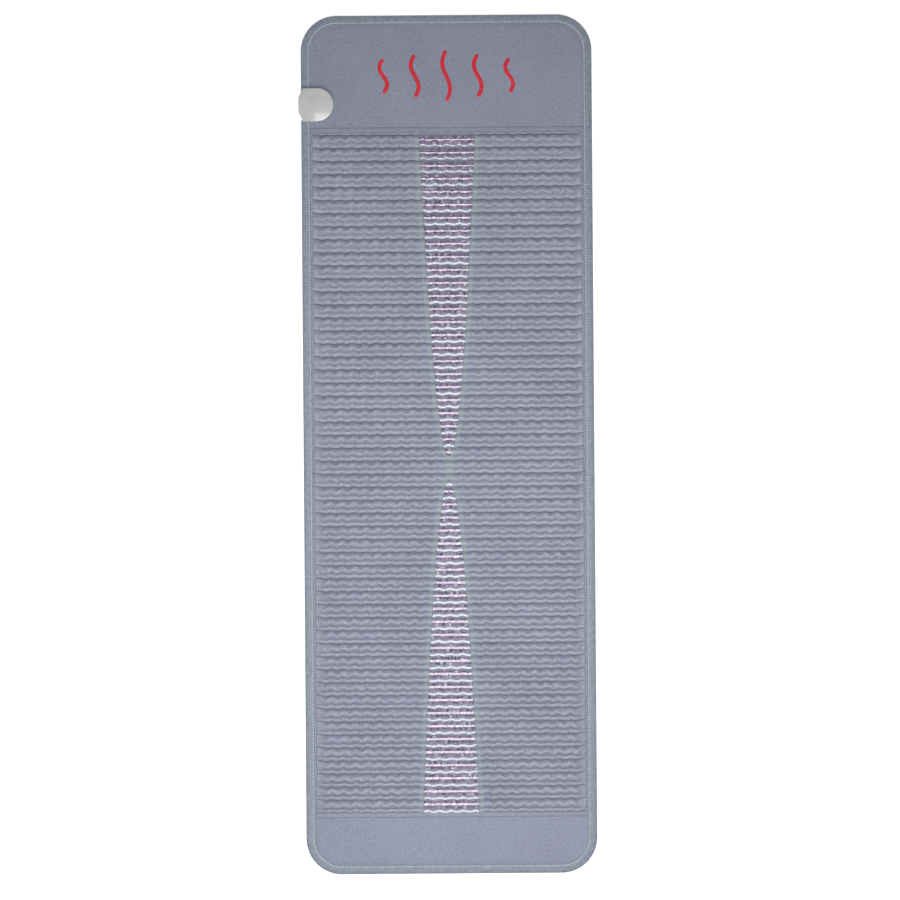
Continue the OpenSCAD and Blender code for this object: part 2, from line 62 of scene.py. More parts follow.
mat = {
    "rows": 52,  # stone channels from the head seam to the foot seam
    "cornerRadius": 75,
    "windowHalf": 59.5,  # half the window at its wide end
    "upperWindow": 680,  # lengths of the two windows from the seams to their tips
    "lowerWindow": 697,
    "seamWave": 25,  # the zigzag stitching pulls each seam into waves this long
    "seamSwing": 1.25,
    "takeUp": 1.28,  # cloth used over a row, as a share of its straight length
    "endRows": 13,  # rows that bend with an end panel's piece
}
zoneRows = {
    "head": (0, mat["endRows"]),
    "waist": (mat["endRows"], mat["rows"] - mat["endRows"]),
    "foot": (mat["rows"] - mat["endRows"], mat["rows"]),
}
fold = (boxOf("upper_quilt_right")[0][1] + boxOf("lower_quilt_right")[1][1]) / 2
at = {
    "halfWidth": boxOf("upper_edge_binding_right")[1][0],
    "skinEdge": boxOf("head_seam_tape")[1][0],
    "headEnd": boxOf("head_edge_binding")[1][1],
    "headSeam": boxOf("head_seam_tape")[1][1],
    "quiltTop": boxOf("head_seam_tape")[0][1],
    "fold": fold,
    "quiltBottom": boxOf("foot_seam_tape")[1][1],
    "footSeam": boxOf("foot_seam_tape")[0][1],
    "footEnd": boxOf("foot_edge_binding")[0][1],
}
pitch = (fold - at["quiltBottom"]) / (mat["rows"] / 2)
# A flat strip lies between the head seam and the first channel
at["rowsTop"] = fold + pitch * mat["rows"] / 2
strip = at["quiltTop"] - at["rowsTop"]
zoneCuts = [at["rowsTop"] - pitch * row for row in zoneRows["waist"]]
upperTip = at["quiltTop"] - mat["upperWindow"]
lowerTip = at["quiltBottom"] + mat["lowerWindow"]
print("row pitch", round(pitch, 3))


def linear(hexColour):
    parts = [int(hexColour[i:i + 2], 16) / 255 for i in (1, 3, 5)]
    return [c / 12.92 if c <= 0.04045 else ((c + 0.055) / 1.055) ** 2.4 for c in parts] + [1.0]


def smooth(low, high, value):
    t = np.clip((value - low) / (high - low), 0, 1)
    return t * t * (3 - 2 * t)


def noiseLine(seed, spacing):
    # A smooth random line with a value every spacing millimetres, from -1 to 1
    made = np.random.default_rng(seed).uniform(-1, 1, 4096)

    def read(along):
        t = along / spacing + 1024
        low = np.floor(t).astype(int)
        part = t - low
        part = part * part * (3 - 2 * part)
        return made[low % 4096] * (1 - part) + made[(low + 1) % 4096] * part

    return read


def noiseField(seed, spacing):
    # The same over a plane
    made = np.random.default_rng(seed).uniform(-1, 1, (512, 512))

    def read(x, y):
        s, t = x / spacing + 128, y / spacing + 128
        i, j = np.floor(s).astype(int), np.floor(t).astype(int)
        p, q = s - i, t - j
        p, q = p * p * (3 - 2 * p), q * q * (3 - 2 * q)
        i, j, k, m = i % 512, j % 512, (i + 1) % 512, (j + 1) % 512
        return (made[i, j] * (1 - p) + made[k, j] * p) * (1 - q) + \
            (made[i, m] * (1 - p) + made[k, m] * p) * q

    return read


def addNode(tree, kind, settings=None, links=None):
    made = tree.nodes.new(kind)
    for name, value in (settings or {}).items():
        if isinstance(name, str) and hasattr(made, name):
            setattr(made, name, value)
        else:
            made.inputs[name].default_value = value
    for name, source in (links or {}).items():
        tree.links.new(source, made.inputs[name])
    return made


def newMaterial(name, settings):
    made = bpy.data.materials.new(name)
    made.use_nodes = True
    shader = made.node_tree.nodes["Principled BSDF"]
    for key, value in settings.items():
        shader.inputs[key].default_value = value
    return made, made.node_tree, shader


def bandScale(size):
    # Wave texture scale for bands that repeat every size millimetres
    return 2 * math.pi / 20 / (size / 1000)


def grainScale(size):
    # Noise and Voronoi scale for grains of that size in millimetres
    return 1000 / size


def finish(piece, material, body=None, zone=None):
    piece.data.materials.clear()
    piece.data.materials.append(material)
    if body:
        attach(piece, body)
    if zone:
        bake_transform(piece)
    return piece


def newPiece(name, mesh):
    made = bpy.data.objects.new(name, mesh)
    bpy.context.scene.collection.objects.link(made)
    return made


def gridPiece(name, columns, rows, place, up=1):
    # A sheet of quads, with every vertex put in place by place(u, v)
    bm = bmesh.new()
    bmesh.ops.create_grid(bm, x_segments=columns, y_segments=rows, size=0.5)
    mesh = bpy.data.meshes.new(name)
    bm.to_mesh(mesh)
    bm.free()
    count = len(mesh.vertices)
    spots = np.empty(count * 3)
    mesh.vertices.foreach_get("co", spots)
    made = place(spots[0::3] + 0.5, spots[1::3] + 0.5)
    spots[0::3], spots[1::3], spots[2::3] = made["x"], made["y"], made["z"]
    mesh.vertices.foreach_set("co", spots / 1000)
    for key, values in made.get("marks", {}).items():
        mark = mesh.attributes.new(key, "FLOAT", "POINT")
        mark.data.foreach_set("value", np.asarray(values, np.float32))
    if "flat" in made:
        corners = np.empty(len(mesh.loops), np.int32)
        mesh.loops.foreach_get("vertex_index", corners)
        layer = mesh.uv_layers.new(name="flat")
        flat = np.stack([made["flat"][0][corners], made["flat"][1][corners]], 1) / 1000
        layer.data.foreach_set("uv", flat.astype(np.float32).ravel())
    mesh.update()
    facing = np.empty(len(mesh.polygons) * 3)
    mesh.polygons.foreach_get("normal", facing)
    if facing[2::3].sum() * up < 0:
        mesh.flip_normals()
    if "keep" in made:
        bm = bmesh.new()
        bm.from_mesh(mesh)
        bm.verts.ensure_lookup_table()
        bmesh.ops.delete(bm, geom=[bm.verts[i] for i in np.nonzero(~made["keep"])[0]], context="VERTS")
        bm.to_mesh(mesh)
        bm.free()
    mesh.polygons.foreach_set("use_smooth", [True] * len(mesh.polygons))
    mesh.update()
    return newPiece(name, mesh)


def repeated(name, places, tones, roughness=0.0):
    # The same small faceted ball at every place, each with its own tone and uneven corners
    bm = bmesh.new()
    bmesh.ops.create_icosphere(bm, subdivisions=1, radius=1)
    ball = bpy.data.meshes.new(name + "Ball")
    bm.to_mesh(ball)
    bm.free()
    corners = np.array([tuple(v.co) for v in ball.vertices])
    faces = np.array([tuple(p.vertices) for p in ball.polygons])
    chance = np.random.default_rng(len(places))
    spots, count = [], len(corners)
    for place in places:
        local = corners + chance.uniform(-roughness, roughness, corners.shape)
        turn = np.array(place)
        spots.append(local @ turn[:3, :3].T + turn[:3, 3])
    mesh = bpy.data.meshes.new(name)
    starts = np.arange(len(places))[:, None, None] * count
    triangles = (faces[None] + starts).reshape(-1, 3)
    mesh.from_pydata((np.concatenate(spots) / 1000).tolist(), [], triangles.tolist())
    mark = mesh.attributes.new("tone", "FLOAT", "POINT")
    mark.data.foreach_set("value", np.repeat(np.asarray(tones, np.float32), count))
    bpy.data.meshes.remove(ball)
    return newPiece(name, mesh)


def halfAt(y, inset=0):
    # Half the mat's width at a station, less an inset all round
    reach = np.maximum(np.abs(y) - (at["headEnd"] - mat["cornerRadius"]), 0)
    radius = mat["cornerRadius"] - inset
    corner = np.sqrt(np.maximum(radius ** 2 - np.minimum(reach, radius) ** 2, 0))
    return at["halfWidth"] - mat["cornerRadius"] + corner


def edgeDistance(x, y):
    # How far a place lies inside the mat's outline
    qx = np.abs(x) - (at["halfWidth"] - mat["cornerRadius"])
    qy = np.abs(y) - (at["headEnd"] - mat["cornerRadius"])
    outside = np.hypot(np.maximum(qx, 0), np.maximum(qy, 0))
    return mat["cornerRadius"] - outside - np.minimum(np.maximum(qx, qy), 0)


def windowAt(y):
    # Half the window's width: a parabola on its side, with its tip towards the middle
    upper = np.sqrt(np.clip((y - upperTip) / mat["upperWindow"], 0, None))
    lower = np.sqrt(np.clip((lowerTip - y) / mat["lowerWindow"], 0, None))
    return mat["windowHalf"] * np.maximum(upper, lower)


def stationOf(rowTurn):
    # The rows are counted from the head, with a whole number at each seam
    return at["rowsTop"] - pitch * rowTurn


stripCells = 4
seamCrowding = 0.085  # draws the cells of a row towards its seams


def rowTurns(v, zone, cells):
    # How many rows down each line of cells lies, with more cells close to each seam than on the crests.
    # The head zone starts with a few cells on the flat strip, where the count is below zero.
    first, last = zoneRows[zone]
    lead = stripCells if zone == "head" else 0
    t = (v * ((last - first) * cells + lead) - lead) / cells
    whole = np.floor(t + 1e-6)
    part = np.clip(t - whole, 0, 1)
    crowded = part - seamCrowding * np.sin(2 * math.pi * part)
    return np.where(t < -1e-6, t * cells / stripCells * strip / pitch, first + whole + crowded)


def lineCount(zone, cells):
    first, last = zoneRows[zone]
    return (last - first) * cells + (stripCells if zone == "head" else 0)


view = {"height": 4.21, "lens": 80.2, "x": 0.0021, "y": -0.0119, "turn": -0.43}
camera = bpy.data.objects.new("camera", bpy.data.cameras.new("camera"))
camera.data.lens = view["lens"]
camera.data.clip_end = 60
camera.location = (view["x"], view["y"], view["height"])
camera.rotation_euler = (0, 0, math.radians(view["turn"]))
bpy.context.scene.collection.objects.link(camera)
bpy.context.scene.camera = camera
bpy.context.scene.view_settings.view_transform = "Standard"

light = {
    "panelPower": 36,
    "panelSize": (0.9, 2.1),
    "panelPlace": (-0.05, -0.45, 1.9),
    "sky": 0.3,
    "floorGlow": 0.55,
    "floorHalf": 12,
    "floorDrop": 0.0006,  # clear of the mat's back
}
lamp = bpy.data.lights.new("softPanel", "AREA")
lamp.energy = light["panelPower"]
lamp.shape = "RECTANGLE"
lamp.size, lamp.size_y = light["panelSize"]
softPanel = bpy.data.objects.new("softPanel", lamp)  # an area light shines down its own -Z
softPanel.location = light["panelPlace"]
softPanel.visible_camera = False
bpy.context.scene.collection.objects.link(softPanel)
world = bpy.data.worlds.new("studio")
world.use_nodes = True
sky = world.node_tree.nodes["Background"]
sky.inputs["Color"].default_value = (1, 1, 1, 1)
sky.inputs["Strength"].default_value = light["sky"]
bpy.context.scene.world = world

bm = bmesh.new()
bmesh.ops.create_grid(bm, x_segments=1, y_segments=1, size=light["floorHalf"])
bmesh.ops.translate(bm, verts=bm.verts, vec=(0, 0, -light["floorDrop"]))
floorMesh = bpy.data.meshes.new("floor")
bm.to_mesh(floorMesh)
bm.free()
floor = newPiece("floor", floorMesh)
floorPaint = newMaterial("matt white studio floor", {
    "Base Color": linear("#f7f7f8"), "Roughness": 0.85,
    "Emission Color": linear("#ffffff"), "Emission Strength": light["floorGlow"]})[0]
floor.data.materials.append(floorPaint)
print("camera, floor and lights ready")


def grain(tree, place, size, detail, roughness=0.5):
    settings = {"Scale": grainScale(size), "Detail": detail, "Roughness": roughness}
    return addNode(tree, "ShaderNodeTexNoise", settings, {"Vector": place}).outputs["Fac"]


def bands(tree, place, direction, size, distortion, detail, detailScale=1.0):
    settings = {"bands_direction": direction, "Scale": bandScale(size), "Distortion": distortion,
                "Detail": detail, "Detail Scale": detailScale}
    return addNode(tree, "ShaderNodeTexWave", settings, {"Vector": place}).outputs["Fac"]


def product(tree, first, second):
    return addNode(tree, "ShaderNodeMath", {"operation": "MULTIPLY"}, {0: first, 1: second}).outputs[0]


def scaledSum(tree, value, factor, added):
    # A value times a number, plus another value or number
    settings, links = {"operation": "MULTIPLY_ADD", 1: factor}, {0: value}
    if isinstance(added, float):
        settings[2] = added
    else:
        links[2] = added
    return addNode(tree, "ShaderNodeMath", settings, links).outputs[0]


def twoTones(tree, value, low, deep, high, pale):
    ramp = addNode(tree, "ShaderNodeValToRGB", None, {"Fac": value})
    ends = ramp.color_ramp.elements
    ends[0].position, ends[0].color = low, linear(deep)
    ends[1].position, ends[1].color = high, linear(pale)
    return ramp


def addBump(tree, shader, height, strength, depth, inputs=("Normal",)):
    bump = addNode(tree, "ShaderNodeBump", {"Strength": strength, "Distance": depth}, {"Height": height})
    for name in inputs:
        tree.links.new(bump.outputs["Normal"], shader.inputs[name])


# The second crease of a row lies that far from its seam, and its shade is weaker by a share
quiltSeams = {
    "second": 18.9,
    "secondShare": 0.45,
    "start": 0.25,
    "reach": 1.5,
    "secondReach": 1.2,
    "clothShade": 0.42,
    "tapeShade": 0.8,
}


def seamShade(tree, colour, depth):
    # The shadow of each row's two seams, drawn from how far the row has turned
    turn = addNode(tree, "ShaderNodeAttribute", {"attribute_name": "rowTurn"})
    part = addNode(tree, "ShaderNodeMath", {"operation": "FRACT"}, {0: turn.outputs["Fac"]})
    shades = []
    second = depth + (1 - depth) * quiltSeams["secondShare"]
    for station, reach, shade in ((0.0, quiltSeams["reach"], depth),
                                  (quiltSeams["second"] / pitch, quiltSeams["secondReach"], second)):
        away = addNode(tree, "ShaderNodeMath", {"operation": "SUBTRACT", 1: station}, {0: part.outputs[0]})
        near = addNode(tree, "ShaderNodeMath", {"operation": "PINGPONG", 1: 0.5}, {0: away.outputs[0]})
        span = {"From Min": quiltSeams["start"] / pitch, "From Max": reach / pitch,
                "To Min": shade, "To Max": 1.0}
        shades.append(addNode(tree, "ShaderNodeMapRange", span, {"Value": near.outputs[0]}))
    both = product(tree, shades[0].outputs[0], shades[1].outputs[0])
    mixed = addNode(tree, "ShaderNodeMix", {"data_type": "RGBA", "blend_type": "MULTIPLY", "Factor": 1.0})
    tree.links.new(colour, mixed.inputs[6])
    tree.links.new(both, mixed.inputs[7])
    return mixed.outputs[2]


def wovenUpholstery(name, pale, deep, thread, shine=0.5, seam=False):
    # Woven polyester upholstery: matt with a faint lift where it faces the light, and slubby threads
    made, tree, shader = newMaterial(name, {
        "Roughness": shine, "Specular IOR Level": 1.0, "Sheen Weight": 0.1, "Sheen Roughness": 0.45})
    place = addNode(tree, "ShaderNodeTexCoord").outputs["Object"]
    weave = product(tree, *(bands(tree, place, direction, thread, 1.2, 2.0, 2.0) for direction in "XY"))
    slub = grain(tree, place, 5, 3.0, 0.6)
    drift = grain(tree, place, 140, 1.0)
    tone = scaledSum(tree, drift, 0.2, 0.4)
    tone = scaledSum(tree, slub, 0.75, tone)
    tone = scaledSum(tree, weave, 0.25, tone)
    colour = twoTones(tree, tone, 0.62, deep, 1.0, pale).outputs["Color"]
    if seam:
        colour = seamShade(tree, colour, quiltSeams["clothShade"])
    tree.links.new(colour, shader.inputs["Base Color"])
    addBump(tree, shader, scaledSum(tree, slub, 1.5, weave), 0.5, 0.0005)
    return made


def bindingTape(name, pale, deep, seam=False):
    # Grosgrain polyester tape: fine ribs across it, a little shinier than the upholstery
    made, tree, shader = newMaterial(name, {"Roughness": 0.5, "Specular IOR Level": 0.5, "Sheen Weight": 0.2})
    place = addNode(tree, "ShaderNodeTexCoord")
    ribs = bands(tree, place.outputs["UV"], "X", 1.6, 0.8, 1.0)
    wear = grain(tree, place.outputs["Object"], 9, 4.0, 0.65)
    tone = scaledSum(tree, ribs, 0.35, wear)
    colour = twoTones(tree, tone, 0.4, deep, 0.95, pale).outputs["Color"]
    if seam:
        colour = seamShade(tree, colour, quiltSeams["tapeShade"])
    tree.links.new(colour, shader.inputs["Base Color"])
    addBump(tree, shader, tone, 0.5, 0.0004)
    return made


def simple(name, pale, deep, size, settings, depth=0.0002, strength=0.3):
    # A mottled finish with a fine surface: the size of its grain is in millimetres
    made, tree, shader = newMaterial(name, settings)
    mottle = grain(tree, addNode(tree, "ShaderNodeTexCoord").outputs["Object"], size, 5.0, 0.6)
    colour = twoTones(tree, mottle, 0.35, deep, 0.65, pale).outputs["Color"]
    tree.links.new(colour, shader.inputs["Base Color"])
    addBump(tree, shader, mottle, strength, depth)
    return made


def clearFilm():
    # Soft clear vinyl: a hazy skin that throws back the lamps and lets the stones show through
    made, tree, shader = newMaterial("clear vinyl film", {
        "Base Color": linear("#9c9db8"), "Roughness": 0.16, "IOR": 1.85, "Specular IOR Level": 1.0,
        "Coat Weight": 1.0, "Coat Roughness": 0.09, "Coat IOR": 2.0, "Alpha": 0.34})
    wrinkle = grain(tree, addNode(tree, "ShaderNodeTexCoord").outputs["Object"], 16, 2.0)
    addBump(tree, shader, wrinkle, 0.08, 0.0012, ("Normal", "Coat Normal"))
    return made


def amethystStone():
    # Tumbled amethyst: clear violet to milky mauve, with bright broken faces
    made, tree, shader = newMaterial("tumbled amethyst", {
        "Roughness": 0.3, "IOR": 1.54, "Specular IOR Level": 0.4})
    tone = addNode(tree, "ShaderNodeAttribute", {"attribute_name": "tone"})
    veins = grain(tree, addNode(tree, "ShaderNodeTexCoord").outputs["Object"], 4, 3.0)
    mixed = scaledSum(tree, veins, 0.45, tone.outputs["Fac"])
    ramp = twoTones(tree, mixed, 0.1, "#2c1a35", 1.0, "#f4e8f4")
    for where, colour in ((0.35, "#64426f"), (0.6, "#a077a8"), (0.85, "#d0aed2")):
        ramp.color_ramp.elements.new(where).color = linear(colour)
    tree.links.new(ramp.outputs["Color"], shader.inputs["Base Color"])
    return made


quiltCloth = wovenUpholstery("woven polyester upholstery, quilted", "#979caf", "#6c7185", 1.3,
                             shine=0.33, seam=True)
panelCloth = wovenUpholstery("woven polyester upholstery", "#8c92a8", "#6a7086", 1.1)
edgeTape = bindingTape("grosgrain binding tape", "#959eac", "#6e7785")
seamTape = bindingTape("grosgrain seam tape", "#8f96a6", "#7a8191")
windowEdgeTape = bindingTape("grosgrain window tape", "#a1abb3", "#8a949c", seam=True)
filmSkin = clearFilm()
stone = amethystStone()
stitchThread = simple("polyester sewing thread", "#f2f5f8", "#dde2e7", 2,
                      {"Roughness": 0.5, "Sheen Weight": 0.2})
leathercloth = simple("polyurethane leathercloth", "#4a4d52", "#3b3e43", 1.6,
                      {"Roughness": 0.45, "Specular IOR Level": 0.5}, 0.0003, 0.6)
redThread = simple("rayon embroidery thread", "#e9162f", "#be0c26", 3,
                   {"Roughness": 0.34, "Specular IOR Level": 0.6, "Sheen Weight": 0.2})
housingPlastic = simple("moulded ABS, pale grey", "#cacac9", "#c4c4c3", 30, {
    "Roughness": 0.22, "Specular IOR Level": 0.5, "Coat Weight": 0.3, "Coat Roughness": 0.1}, 0.0001, 0.1)
baseCloth = wovenUpholstery("polyester cotton base cloth", "#9ea6b8", "#8990a2", 1.0)
print("surface materials ready")

quilting = {
    "cells": 20,  # cells from one seam to the next
    "columns": 132,
    "sideMargin": (258, 282),  # the stones thin out between these stations
    "marginShift": 2.0,  # the seams creep towards the head at the edges
    "shiftSpan": (240, 286),
    "pillow": (10.3, 3.6, 0.3),  # base, swell and ripple of an empty row
    "lap": 4,  # how far the cloth runs under the window's tape
    "lapDrop": 1.1,
    "tuckSpan": (19, 24.5),  # distances from the side edge over which the cloth dips under the binding
    "tuckHeight": 8.3,
    "stripSwell": 1.3,
    "swatchRows": 3,
    "swatchLength": 600,
    "swatchStep": 2.5,
}
# Distances down a row 27.3 mm long, then heights
profileLength = 27.3
clothProfile = (
    [0, 0.7, 2, 4, 6.4, 8.6, 10.6, 12.6, 15, 17, 18.4, 19.1, 19.8, 21, 22.5, 24.5, 26.2, 27.0, 27.3],
    [10.0, 12.4, 15.2, 17.4, 18.9, 19.7, 20.0, 19.5, 17.8, 15.6, 13.3, 12.2, 12.5, 12.8, 12.9, 12.5, 11.6,
     10.8, 10.0],
)
filmProfile = (
    [0, 0.8, 2, 4, 6, 8, 10, 12, 14, 16, 17.6, 18.6, 19.6, 20.8, 22, 27.3],
    [10.6, 12.4, 15.0, 17.7, 19.3, 19.9, 20.0, 19.9, 18.9, 17.0, 14.4, 12.9, 12.5, 11.7, 10.9, 10.6],
)
# How much of the seams' waves the cloth and the film keep, down a row
waveShare = ([0, 3, 8, 11, 15, 19, 22, 27.3], [0.5, 0.45, 0.3, 0.3, 0.45, 0.6, 0.6, 0.5])
filmWaveShare = ([0, 3, 7, 12, 15.5, 18, 27.3], [1, 0.5, 0.05, 0.1, 0.7, 1.2, 1])


def softened(profile, width=0.55):
    # The profile read from a fine table, with its corners rounded
    step = 0.05
    across = np.arange(0, pitch, step)
    z = np.interp(across * profileLength / pitch, profile[0], profile[1])
    reach = int(3 * width / step)
    weights = np.exp(-0.5 * (np.arange(-reach, reach + 1) * step / width) ** 2)
    z = np.convolve(np.concatenate([z[-reach:], z, z[:reach]]), weights / weights.sum(), "valid")
    return lambda place: np.interp(place, across, z, period=pitch)


clothHeight, filmHeight = softened(clothProfile), softened(filmProfile, 0.4)


def seamSway(along):
    return mat["seamSwing"] * np.cos(2 * math.pi * along / mat["seamWave"])


drape = {
    "frames": 20,
    "quality": 5,
    "mass": 0.15,
    "stiffness": 15,
    "shear": 5,
    "bending": 0.5,
    "slack": 0.06,
    "pressure": 4,
    "secondSeam": 14,  # the line of cells that the second crease holds down
    "scale": 0.01,
    "chance": 0.05,  # uneven heights that start the folds
    "folds": 1.05,
    "heights": (10.1, 21.8),
}


def simulatedSwatch():
    # A piece of cloth cut a little too large, sewn down along its seams and blown up over the stones.
    # It is worked at ten times its size, because cloth this fine is unsteady at its own.
    step, length, cells = quilting["swatchStep"], quilting["swatchLength"], quilting["cells"]
    rows, columns = quilting["swatchRows"] + 2, int(quilting["swatchLength"] / quilting["swatchStep"])
    bm = bmesh.new()
    bmesh.ops.create_grid(bm, x_segments=columns, y_segments=rows * cells, size=0.5)
    mesh = bpy.data.meshes.new("swatch")
    bm.to_mesh(mesh)
    bm.free()
    spots = np.empty(len(mesh.vertices) * 3)
    mesh.vertices.foreach_get("co", spots)
    i = np.rint((spots[0::3] + 0.5) * columns).astype(int)
    j = np.rint((0.5 - spots[1::3]) * rows * cells).astype(int)
    along, across, line = i * step, (j % cells) * pitch / cells, j % cells
    chance = np.random.default_rng(3).uniform(-drape["chance"], drape["chance"], len(i))
    spots[0::3] = along
    spots[1::3] = -j * pitch / cells + seamSway(along) * np.interp(across, *waveShare)
    spots[2::3] = clothHeight(across) + chance * (line != 0)
    mesh.vertices.foreach_set("co", spots * drape["scale"])
    mesh.update()
    cloth = newPiece("swatch", mesh)
    sewn = cloth.vertex_groups.new(name="sewn")
    held = (line == 0) | (line == drape["secondSeam"]) | (i == 0) | (i == columns)
    sewn.add([int(k) for k in np.nonzero(held)[0]], 1.0, "REPLACE")
    modifier = cloth.modifiers.new("cloth", "CLOTH")
    modifier.point_cache.frame_start, modifier.point_cache.frame_end = 1, drape["frames"]
    modifier.collision_settings.use_collision = False
    modifier.collision_settings.use_self_collision = False
    made = modifier.settings
    made.quality, made.mass, made.air_damping = drape["quality"], drape["mass"], 1.0
    made.tension_stiffness = made.compression_stiffness = drape["stiffness"]
    made.shear_stiffness, made.bending_stiffness = drape["shear"], drape["bending"]
    made.vertex_group_mass = "sewn"
    made.shrink_min = -drape["slack"]
    made.use_pressure, made.uniform_pressure_force = True, drape["pressure"]
    made.effector_weights.gravity = 0
    for frameNumber in range(1, drape["frames"] + 1):
        bpy.context.scene.frame_set(frameNumber)
    settled = cloth.evaluated_get(bpy.context.evaluated_depsgraph_get())
    settled.data.vertices.foreach_get("co", spots)
    spots /= drape["scale"]
    moved = np.zeros((columns + 1, rows * cells + 1, 3))
    moved[i, j] = np.stack([spots[0::3] - along, spots[1::3] + j * pitch / cells, spots[2::3]], 1)
    bpy.context.scene.frame_set(1)
    bpy.data.objects.remove(cloth)
    # A smoothing along the row takes out the finest crumpling. The rows keep the stones' outline
    # on the whole, and the cloth's folds come on top of it.
    moved[1:-1] = moved[1:-1] * 0.5 + (moved[:-2] + moved[2:]) * 0.25
    moved = (moved - moved.mean(0)) * drape["folds"]
    moved[:, :, 2] += clothHeight((np.arange(rows * cells + 1) % cells) * pitch / cells)
    moved[:, :, 2] = np.clip(moved[:, :, 2], *drape["heights"])
    return np.array([moved[:, cells * k:cells * (k + 1) + 1] for k in range(1, rows - 1)])


swatch = simulatedSwatch()


def readSwatch(pick, along, across):
    # The swatch between its points: a place along the row and down it
    c = np.clip(along / quilting["swatchStep"], 0, swatch.shape[1] - 1.001)
    a = np.clip(across / pitch * (swatch.shape[2] - 1), 0, swatch.shape[2] - 1.001)
    i, j = c.astype(int), a.astype(int)
    p, q = (c - i)[:, None], (a - j)[:, None]
    return (swatch[pick, i, j] * (1 - p) + swatch[pick, i + 1, j] * p) * (1 - q) + \
        (swatch[pick, i, j + 1] * (1 - p) + swatch[pick, i + 1, j + 1] * p) * q


rowChoice = np.random.default_rng(7)
rowPick = rowChoice.integers(0, quilting["swatchRows"], (2, mat["rows"]))
rowStart = rowChoice.integers(0, 12, (2, mat["rows"])) * mat["seamWave"]
rowFlip = rowChoice.integers(0, 2, (2, mat["rows"]))


def clothPoint(x, rowTurn, plain=False):
    # Where the quilted cloth's point at x and that far down the rows comes to rest
    row = np.clip(np.floor(rowTurn + 1e-6).astype(int), 0, mat["rows"] - 1)
    across = np.clip(rowTurn - row, 0, 1) * pitch
    lead = np.clip(-rowTurn * pitch / strip, 0, 1)  # 0 at the first seam, 1 at the head seam tape
    side, along = np.where(x < 0, 0, 1), np.abs(x)
    still = np.zeros_like(x)
    base = np.stack([still, seamSway(along) * np.interp(across, *waveShare), clothHeight(across)], 1)
    y = stationOf(rowTurn)
    if plain:
        offset = base
    else:
        flip = rowFlip[side, row]
        start = np.where(flip == 1, quilting["swatchLength"] - rowStart[side, row], rowStart[side, row])
        offset = readSwatch(rowPick[side, row], start + along * np.where(flip == 1, -1, 1), across)
        offset[:, 0] *= np.where(x < 0, -1, 1) * np.where(flip == 1, -1, 1)
        free = smooth(windowAt(y) + 9, windowAt(y) + 24, along)[:, None]
        offset = base * (1 - free) + offset * free
    # Towards the side edges the rows are empty: flat pillows between straight seams
    margin = smooth(*quilting["sideMargin"], along)[:, None]
    part = np.clip(across / pitch, 0, 1)
    low, swell, ripple = quilting["pillow"]
    pillow = low + swell * np.sin(math.pi * part) ** 0.7 + ripple * np.cos(6 * math.pi * part)
    flat = np.stack([still, quilting["marginShift"] * smooth(*quilting["shiftSpan"], along), pillow], 1)
    offset = offset * (1 - margin) + flat * margin
    offset[:, 1] *= 1 - lead
    offset[:, 2] += quilting["stripSwell"] * np.sin(math.pi * lead) ** 0.7
    return offset


def quiltPlace(side, zone):
    def place(u, v):
        rowTurn = rowTurns(v, zone, quilting["cells"])
        y = stationOf(rowTurn)
        inner = windowAt(y) + quilting["lap"]
        x = (inner + (at["skinEdge"] + 0.8 - inner) * u) * side
        offset = clothPoint(x, rowTurn)
        tuck = smooth(*quilting["tuckSpan"], at["halfWidth"] - np.abs(x))
        lap = quilting["lapDrop"] * (1 - smooth(inner, inner + quilting["lap"], np.abs(x)))
        z = quilting["tuckHeight"] + (offset[:, 2] - quilting["tuckHeight"]) * tuck - lap
        return {"x": x + offset[:, 0], "y": y + offset[:, 1], "z": z, "flat": (x, y),
                "marks": {"rowTurn": rowTurn}}
    return place


halfOf = {"head": "upper_", "foot": "lower_"}
for zone in zoneRows:
    for side, word in ((-1, "Left"), (1, "Right")):
        quilt = gridPiece("quilt" + zone.capitalize() + word, quilting["columns"],
                          lineCount(zone, quilting["cells"]), quiltPlace(side, zone))
        finish(quilt, quiltCloth, zone=zone)
        if zone in halfOf:
            ending = "_" + word.lower()
            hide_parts(halfOf[zone] + "quilt" + ending, halfOf[zone] + "stone_fill" + ending)
print("quilting ready")

window = {
    "filmCells": 28,
    "filmColumns": 64,
    "tapeColumns": 7,
    "tapeWidth": 10,
    "filmLap": 4,
    "tuck": 0.7,
    "tapeInset": 0.6,
    "tapeSpread": 0.3,  # taken up by the tape's arched section
    "tapeLift": 0.15,
    "tapeSwell": 0.65,
    "tapeRim": 0.12,  # the share of its width over which each edge is rounded down
}
filmWobble = noiseField(5, 26)


def filmPoint(x, rowTurn):
    row = np.clip(np.floor(rowTurn + 1e-6).astype(int), 0, mat["rows"] - 1)
    across = np.clip(rowTurn - row, 0, 1) * pitch
    sway = seamSway(np.abs(x)) * np.interp(across, *filmWaveShare)
    wobble = filmWobble(x * 0.4, stationOf(rowTurn))
    share = np.interp(across, [0, 3, 10, 18, 22], [0, 0.3, 0.12, 0.35, 0])
    return stationOf(rowTurn) + sway, filmHeight(across) + wobble * share


def filmPiece(name, top, bottom, zone):
    rows = (top - bottom) / pitch
    first = (at["rowsTop"] - top) / pitch

    def place(u, v):
        rowTurn = first + v * rows
        half = windowAt(stationOf(rowTurn)) + window["filmLap"]
        x = (2 * u - 1) * half
        y, z = filmPoint(x, rowTurn)
        tuck = window["tuck"] * smooth(half - 5, half - 2, np.abs(x))
        return {"x": x, "y": y, "z": z - tuck, "flat": (x, y), "marks": {"rowTurn": rowTurn}}

    made = gridPiece(name, window["filmColumns"], int(round(rows * window["filmCells"])), place)
    finish(made, filmSkin, zone=zone)
    return made


